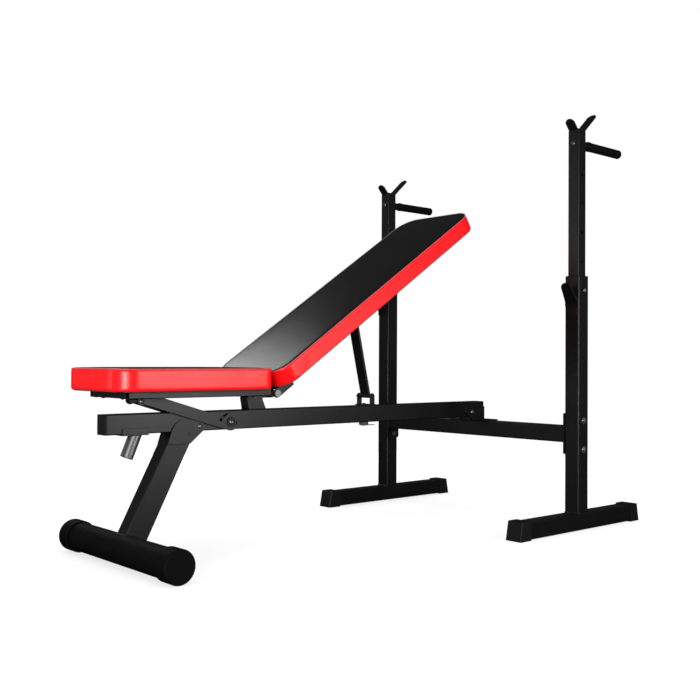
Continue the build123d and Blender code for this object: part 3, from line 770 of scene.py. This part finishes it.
def make_pad(name, node, body, half, y0, y1, z0, z1, front_r, rear_r, hinge_y, turn):
    """One upholstered pad: swollen cover, piping along the top seam coloured light grey as a painted highlight,
    and a lower tuck.
    """
    bm = pad_block(half, y0, y1, z0 - WRAP, z1, front_r, rear_r, RIM_R)
    piece = to_object(bm, name, [BLACK_VINYL, RED_VINYL])
    remesh = piece.modifiers.new("remesh", "REMESH")
    remesh.mode = "VOXEL"
    remesh.voxel_size = VOXEL
    apply_modifiers(piece)
    smoothing = piece.modifiers.new("smooth", "SMOOTH")
    smoothing.iterations = 2
    apply_modifiers(piece)
    seam = z1 - SEAM_DROP
    swell(piece, z0 - WRAP, seam)
    crown(piece, half, y0, y1, z1)
    fine = piece.modifiers.new("fine", "SUBSURF")
    fine.levels = fine.render_levels = 1
    apply_modifiers(piece)
    inset = BOARD_INSET - 0.2 * MM
    recess_r = min(front_r, rear_r) - 10 * MM
    recess = pad_block(half - inset, y0 + inset, y1 - inset, z0 - 8 * MM, z0 + BOARD_THICKNESS + 0.1 * MM,
                       recess_r, recess_r, 0.1 * MM)
    cut_away(piece, recess)
    place = Matrix.Translation((0, hinge_y, z0 - 4.2 * MM))
    size = Matrix.Diagonal((2 * RAIL_NOTCH, NOTCH_LENGTH, NOTCH_DEPTH, 1))
    notch = bmesh.new()
    bmesh.ops.create_cube(notch, size=1, matrix=place @ size)
    cut_away(piece, notch)
    cut_seam(piece, seam)
    line = rim_path(half, y0, y1, front_r, rear_r, PIPING_INSET, seam)
    # the piping's light grey colour is a painted highlight along the seam
    piping = rope(name + "_piping", line, PIPING_R, PIPING_PAINTED_HIGHLIGHT)
    line = rim_path(half, y0, y1, front_r, rear_r, TUCK_INSET, z0 - WRAP + 0.4 * MM)
    tuck = rope(name + "_tuck", line, TUCK_R, BLACK_VINYL)
    for part in (piece, piping, tuck):
        part.data.transform(turn)
        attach(part, body)
    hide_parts(node)


def make_pads():
    """The seat pad, level, and the back pad, made level and then turned about the hinge."""
    low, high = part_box("seat_cushion")
    make_pad("seat_pad", "seat_cushion", "seat", high.x, low.y, high.y, low.z, high.z,
             53 * MM, 25 * MM, high.y, Matrix.Identity(4))
    front = HINGE.y + 8 * MM
    make_pad("back_pad", "back_cushion", "back", 150 * MM, front, HINGE.y + 912.5 * MM,
             HINGE.z + 14.4 * MM, HINGE.z + 63.4 * MM, 50 * MM, 60 * MM, front, BACK_TURN)


# ---- softened plates and keyed bolts ----

KEY_DEPTH = 2.6 * MM

# node, width of the rounding in millimetres
SOFTENED = [
    ("uprights", 0.5), ("upright_bushes", 0.8), ("safety_hooks", 0.9), ("cross_beam_end_plates", 0.8),
    ("beam_saddle", 0.7), ("strut_bracket", 0.5), ("seat_post", 0.6), ("socket_bracket", 0.6),
    ("leg_plates", 0.6), ("seat_strut", 0.6), ("back_brackets", 0.6), ("seat_brackets", 0.6),
    ("near_bar_fork", 1.2), ("far_bar_fork", 1.2), ("foot_end_caps", 1.6), ("beam_end_caps", 0.8),
    ("near_post_tube", 0.4), ("far_post_tube", 0.4), ("main_beam", 0.4), ("cross_beam", 0.4),
    ("foot_tubes", 0.4), ("leg_tube", 0.5), ("foot_bar_caps", 1.2), ("back_strut", 0.4),
]
# node, way that the heads face, width of the key in millimetres
KEYED = [
    ("cross_beam_bolts", (1, 0, 0), 6), ("beam_bolts", (1, 0, 0), 5), ("seat_strut_bolt", (1, 0, 0), 6),
    ("seat_lug_bolt", (1, 0, 0), 5), ("near_handle_bolt", (0, -1, 0), 5), ("far_handle_bolt", (0, -1, 0), 5),
    ("bracket_pin", (0, 0, 1), 6), ("seat_pad_screws", (0, 0, -1), 4),
    ("back_pad_screws", (0, math.sin(BACK_ANGLE), -math.cos(BACK_ANGLE)), 4),
]


# ---- room, lights and camera ----

def soft_light(name, place, aim, width, height, glow):
    """Rectangular soft light; glow is its brightness as seen, where white paper is 1."""
    data = bpy.data.lights.new(name, "AREA")
    data.shape = "RECTANGLE"
    data.size = width
    data.size_y = height
    data.energy = glow * math.pi * width * height
    lamp = bpy.data.objects.new(name, data)
    lamp.location = place
    lamp.rotation_euler = (Vector(aim) - Vector(place)).to_track_quat("-Z", "Y").to_euler()
    lamp.visible_camera = False
    scene.collection.objects.link(lamp)
    return lamp


def make_lights():
    """Windows and cards round the bench, and a broad light above that mirrors do not show."""
    soft_light("left_window", (-2.98, -0.29, 2.53), (0, -0.33, 0.52), 1.62, 1.27, 3.8)
    soft_light("right_window", (3.23, 1.10, 0.86), (0.1, -0.6, 0.40), 1.08, 1.66, 9.0)
    soft_light("rear_right_window", (2.74, 1.69, 1.27), (0.1, -0.6, 0.40), 0.63, 1.40, 2.2)
    soft_light("front_left_card", (-2.30, -3.50, 1.05), (0.1, 0, 0.60), 1.20, 1.90, 2.0)
    soft_light("front_strip", (2.40, -3.05, 0.47), (0.13, -0.8, 0.46), 1.3, 0.80, 30.0)
    overhead = soft_light("overhead", (0.3, -0.5, 3.6), (0, -0.2, 0.5), 2.4, 3.0, 1.4)
    overhead.visible_glossy = False


def make_world():
    """White to the eye, dim to mirrors, and a plain level for lighting, weaker from behind."""
    world = bpy.data.worlds.new("studio")
    world.use_nodes = True
    scene.world = world
    tree = world.node_tree
    back = tree.nodes["Background"]
    rays = add(tree, "ShaderNodeLightPath")
    place = add(tree, "ShaderNodeTexCoord")
    parts = add(tree, "ShaderNodeSeparateXYZ")
    tree.links.new(place.outputs["Generated"], parts.inputs["Vector"])
    front = add(tree, "ShaderNodeMapRange")
    front.inputs["From Min"].default_value = -1
    front.inputs["To Min"].default_value = 0.95
    front.inputs["To Max"].default_value = 0.45
    tree.links.new(parts.outputs["Y"], front.inputs["Value"])
    mirrored = add(tree, "ShaderNodeMix")
    tree.links.new(rays.outputs["Is Glossy Ray"], mirrored.inputs["Factor"])
    tree.links.new(front.outputs["Result"], mirrored.inputs["A"])
    mirrored.inputs["B"].default_value = 0.04
    seen = add(tree, "ShaderNodeMath", operation="MAXIMUM")
    tree.links.new(rays.outputs["Is Camera Ray"], seen.inputs[0])
    tree.links.new(rays.outputs["Is Transmission Ray"], seen.inputs[1])
    strength = add(tree, "ShaderNodeMath", operation="MAXIMUM")
    tree.links.new(mirrored.outputs["Result"], strength.inputs[0])
    tree.links.new(seen.outputs["Value"], strength.inputs[1])
    back.inputs["Color"].default_value = (1, 1, 1, 1)
    tree.links.new(strength.outputs["Value"], back.inputs["Strength"])


def make_floor():
    """Pale floor that keeps the shadow of the bench but reads as white."""
    bm = bmesh.new()
    bmesh.ops.create_circle(bm, cap_ends=True, segments=96, radius=2.5)
    mat, tree, shader = new_material("pale_floor")
    mottle = place_group(tree, MOTTLE, Cloud_Scale=2, Grain_Scale=300)
    shader.inputs["Specular IOR Level"].default_value = 0
    tone(tree, shader, mottle.outputs["Cloud"], (0.32, 0.32, 0.32), (0.35, 0.35, 0.35))
    pale = shader.inputs["Base Color"].links[0].from_socket
    shader.inputs["Roughness"].default_value = 1
    shader.inputs["Emission Color"].default_value = (1, 1, 1, 1)
    rays = add(tree, "ShaderNodeLightPath")
    mirrored = add(tree, "ShaderNodeMix", data_type="RGBA")
    tree.links.new(rays.outputs["Is Glossy Ray"], mirrored.inputs["Factor"])
    tree.links.new(pale, mirrored.inputs["A"])
    mirrored.inputs["B"].default_value = (0.03, 0.03, 0.03, 1)
    tree.links.new(mirrored.outputs["Result"], shader.inputs["Base Color"])
    place = add(tree, "ShaderNodeTexCoord")
    reach = add(tree, "ShaderNodeVectorMath", operation="LENGTH")
    tree.links.new(place.outputs["Object"], reach.inputs[0])
    fade = add(tree, "ShaderNodeMapRange", interpolation_type="SMOOTHSTEP")
    fade.inputs["From Min"].default_value = 0.9
    fade.inputs["From Max"].default_value = 2.2
    fade.inputs["To Min"].default_value = 0.70
    fade.inputs["To Max"].default_value = 1.0
    tree.links.new(reach.outputs["Value"], fade.inputs["Value"])
    glow = add(tree, "ShaderNodeMath", operation="MULTIPLY")
    tree.links.new(rays.outputs["Is Camera Ray"], glow.inputs[0])
    tree.links.new(fade.outputs["Result"], glow.inputs[1])
    tree.links.new(glow.outputs["Value"], shader.inputs["Emission Strength"])
    floor = to_object(bm, "floor", [mat])


def make_camera():
    """Camera at the standing viewer's place."""
    data = bpy.data.cameras.new("camera")
    data.lens = CAMERA_LENS
    data.sensor_width = 36
    camera = bpy.data.objects.new("camera", data)
    camera.location = CAMERA_PLACE
    camera.rotation_euler = [math.radians(angle) for angle in CAMERA_TURN]
    scene.collection.objects.link(camera)
    scene.camera = camera


dress_cad_nodes()
make_pads()
make_grips()
make_socket()
make_welds()
for node, width in SOFTENED:
    soften(node, width * MM)
for node, way, key in KEYED:
    drill_keys(node, way, key * MM, KEY_DEPTH)
make_floor()
make_world()
make_lights()
make_camera()
scene.view_settings.view_transform = "Standard"
